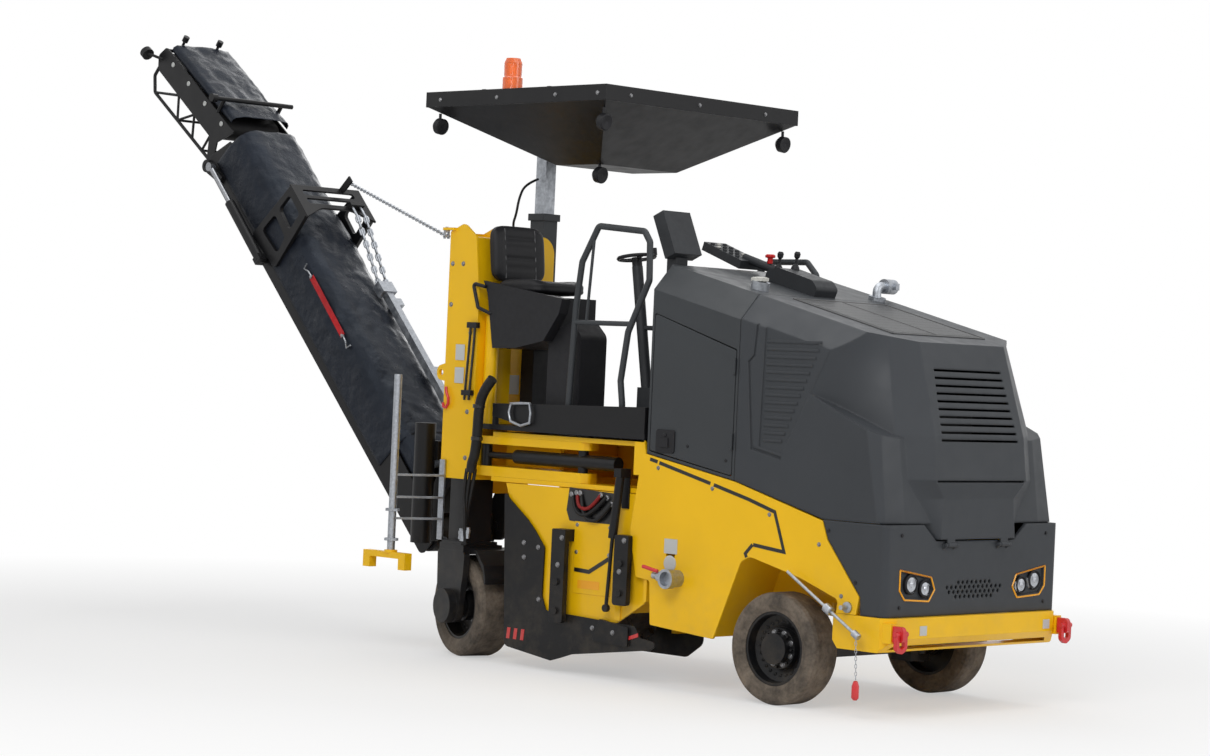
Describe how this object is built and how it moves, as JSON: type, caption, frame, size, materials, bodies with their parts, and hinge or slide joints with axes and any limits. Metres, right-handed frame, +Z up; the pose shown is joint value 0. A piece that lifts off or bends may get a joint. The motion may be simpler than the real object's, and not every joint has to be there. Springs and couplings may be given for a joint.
{
  "type": "wheeled cold planer with rear conveyor",
  "caption": "Compact wheeled road milling machine: rear-mounted cutting drum flush with the right side, folding rear conveyor, tilting hood, operator platform with canopy on a post.",
  "frame": {"origin": "middle of the whole machine's base, on the ground", "axes": "+X forward, +Y to the machine's left, +Z up"},
  "size_m": [7.1722, 2.0499, 4.0035],
  "materials": {
    "yellow_paint": "gloss enamel",
    "grey_paint": "satin enamel",
    "black_paint": "satin enamel",
    "red_paint": "gloss enamel",
    "steel": "machined",
    "galvanised": "galvanised",
    "worn_steel": "worn cutting steel",
    "tyre_rubber": "solid tyre, dusty",
    "belt_rubber": "ribbed",
    "seat_vinyl": "sewn vinyl",
    "tarpaulin": "coated cloth",
    "black_plastic": "moulded",
    "lamp_glass": "clear lens",
    "amber": "amber lens",
    "engine_metal": "cast, oily",
    "grey_plastic": "moulded"
  },
  "bodies": {
    "chassis": {"main_frame": "yellow_paint", "front_axle": "grey_paint", "front_bumper": "yellow_paint", "tow_shackles": "red_paint", "front_fascia": "grey_paint", "headlamps": "lamp_glass", "engine_block": "engine_metal", "engine_cover": "grey_paint", "control_panels": "grey_plastic", "water_fittings": "galvanised", "platform_deck": "grey_paint", "handrails": "grey_paint", "operator_seat": "seat_vinyl", "seat_base": "black_plastic", "rear_frame": "yellow_paint", "swing_cylinder": "black_paint", "drum_housing": "yellow_paint", "protector_guides": "yellow_paint", "canopy_sleeve": "grey_paint"},
    "knuckle_right": {"knuckle_right": "grey_paint"},
    "knuckle_left": {"knuckle_left": "grey_paint"},
    "steering_rod": {"steering_rod": "steel"},
    "steering_wheel": {"steering_wheel": "black_plastic"},
    "wheel_front_right": {"tyre_front_right": "tyre_rubber", "rim_front_right": "black_paint"},
    "wheel_front_left": {"tyre_front_left": "tyre_rubber", "rim_front_left": "black_paint"},
    "wheel_rear_right": {"tyre_rear_right": "tyre_rubber", "rim_rear_right": "black_paint"},
    "wheel_rear_left": {"tyre_rear_left": "tyre_rubber", "rim_rear_left": "black_paint"},
    "leg_right": {"leg_right": "black_paint", "fork_right": "black_paint", "sensor_holder": "galvanised"},
    "leg_left": {"leg_left": "black_paint"},
    "milling_drum": {"milling_drum": "worn_steel"},
    "protector_right": {"protector_right": "black_paint"},
    "protector_left": {"protector_left": "black_paint"},
    "hood": {"hood": "grey_paint"},
    "door_right": {"door_right": "grey_paint"},
    "door_left": {"door_left": "grey_paint"},
    "canopy": {"canopy_post": "galvanised", "canopy_roof": "black_paint", "canopy_lamps": "black_plastic", "beacon": "amber"},
    "conveyor_carrier": {"conveyor_carrier": "black_paint"},
    "conveyor_lower": {"boom_lower": "black_paint", "boom_lower_cover": "tarpaulin", "belt_lower": "belt_rubber", "hoist_chains": "steel"},
    "fold_rod": {"fold_rod": "steel"},
    "conveyor_upper": {"boom_upper": "black_paint", "boom_upper_cover": "tarpaulin", "belt_upper": "belt_rubber"},
    "stay_shackle": {"stay_shackle": "galvanised"},
    "stay_chain": {"stay_chain": "galvanised"}
  },
  "joints": [
    {"name": "steer_right", "type": "hinge", "parent": "chassis", "child": "knuckle_right", "pos_m": [2.70208, -0.405, 0.31], "axis": [0, 0, 1], "range_deg": [-30, 30]},
    {"name": "steer_left", "type": "hinge", "parent": "chassis", "child": "knuckle_left", "pos_m": [2.70208, 0.635, 0.31], "axis": [0, 0, 1], "range_deg": [-30, 30]},
    {"name": "steering_rod", "type": "slide", "parent": "chassis", "child": "steering_rod", "axis": [0, -1, 0], "range_m": [-0.08, 0.08]},
    {"name": "steering_wheel_turn", "type": "hinge", "parent": "chassis", "child": "steering_wheel", "pos_m": [1.23327, -0.335, 2.46358], "axis": [-0.1624, 0, 0.9867], "range_deg": [-245, 245]},
    {"name": "spin_front_right", "type": "hinge", "parent": "knuckle_right", "child": "wheel_front_right", "pos_m": [2.70208, -0.565, 0.31], "axis": [0, 1, 0], "continuous": true},
    {"name": "spin_front_left", "type": "hinge", "parent": "knuckle_left", "child": "wheel_front_left", "pos_m": [2.70208, 0.795, 0.31], "axis": [0, 1, 0], "continuous": true},
    {"name": "spin_rear_right", "type": "hinge", "parent": "leg_right", "child": "wheel_rear_right", "pos_m": [0.10208, -0.462, 0.31], "axis": [0.2419, 0.9703, 0], "continuous": true},
    {"name": "spin_rear_left", "type": "hinge", "parent": "leg_left", "child": "wheel_rear_left", "pos_m": [0.10208, 0.692, 0.31], "axis": [0, 1, 0], "continuous": true},
    {"name": "leg_right_lift", "type": "slide", "parent": "chassis", "child": "leg_right", "axis": [0, 0, 1], "range_m": [-0.05, 0.3]},
    {"name": "leg_left_lift", "type": "slide", "parent": "chassis", "child": "leg_left", "axis": [0, 0, 1], "range_m": [-0.05, 0.3]},
    {"name": "drum_spin", "type": "hinge", "parent": "chassis", "child": "milling_drum", "pos_m": [1.14209, -0.347, 0.45], "axis": [0, 1, 0], "continuous": true},
    {"name": "protector_right_lift", "type": "slide", "parent": "chassis", "child": "protector_right", "axis": [0, 0, 1], "range_m": [0, 0.2]},
    {"name": "protector_left_lift", "type": "slide", "parent": "chassis", "child": "protector_left", "axis": [0, 0, 1], "range_m": [0, 0.2]},
    {"name": "hood_tilt", "type": "hinge", "parent": "chassis", "child": "hood", "pos_m": [3.48209, 0.115, 0.93], "axis": [0, 1, 0], "range_deg": [0, 50]},
    {"name": "door_right_swing", "type": "hinge", "parent": "chassis", "child": "door_right", "pos_m": [2.33808, -0.667, 1.6], "axis": [0, 0, 1], "range_deg": [0, 100]},
    {"name": "door_left_swing", "type": "hinge", "parent": "chassis", "child": "door_left", "pos_m": [2.33808, 0.897, 1.6], "axis": [0, 0, -1], "range_deg": [0, 100]},
    {"name": "canopy_lift", "type": "slide", "parent": "chassis", "child": "canopy", "axis": [0, 0, 1], "range_m": [-0.25, 0]},
    {"name": "conveyor_slew", "type": "hinge", "parent": "chassis", "child": "conveyor_carrier", "pos_m": [-0.21291, -0.085, 1.2], "axis": [0, 0, -1], "range_deg": [-20, 20]},
    {"name": "conveyor_luff", "type": "hinge", "parent": "conveyor_carrier", "child": "conveyor_lower", "pos_m": [-0.41791, -0.085, 0.75], "axis": [0, 1, 0], "range_deg": [-12, 0]},
    {"name": "conveyor_fold", "type": "hinge", "parent": "conveyor_lower", "child": "conveyor_upper", "pos_m": [-2.85245, -0.085, 3.06617], "axis": [0, -1, 0], "range_deg": [0, 110]},
    {"name": "fold_rod_slide", "type": "slide", "parent": "conveyor_lower", "child": "fold_rod", "axis": [-0.6743, 0, 0.7385], "range_m": [0, 0.2]},
    {"name": "stay_turn", "type": "hinge", "parent": "chassis", "child": "stay_shackle", "pos_m": [-0.06592, -0.669, 2.568], "axis": [0, 0, -1], "range_deg": [-25, 25]},
    {"name": "stay_tilt", "type": "hinge", "parent": "stay_shackle", "child": "stay_chain", "pos_m": [-0.06592, -0.669, 2.568], "axis": [0.3844, 0.9232, 0], "range_deg": [-15, 5]}
  ],
  "couplings": [
    {"joint": "steer_left", "follows": "steer_right", "ratio": 1},
    {"joint": "steering_rod", "follows": "steer_right", "m_per_rad": 0.15},
    {"joint": "steering_wheel_turn", "follows": "steer_right", "ratio": 8},
    {"joint": "fold_rod_slide", "follows": "conveyor_fold", "m_per_rad": 0.1},
    {"joint": "stay_turn", "follows": "conveyor_slew", "ratio": 0.8143},
    {"joint": "stay_tilt", "follows": "conveyor_luff", "ratio": 0.8759}
  ]
}
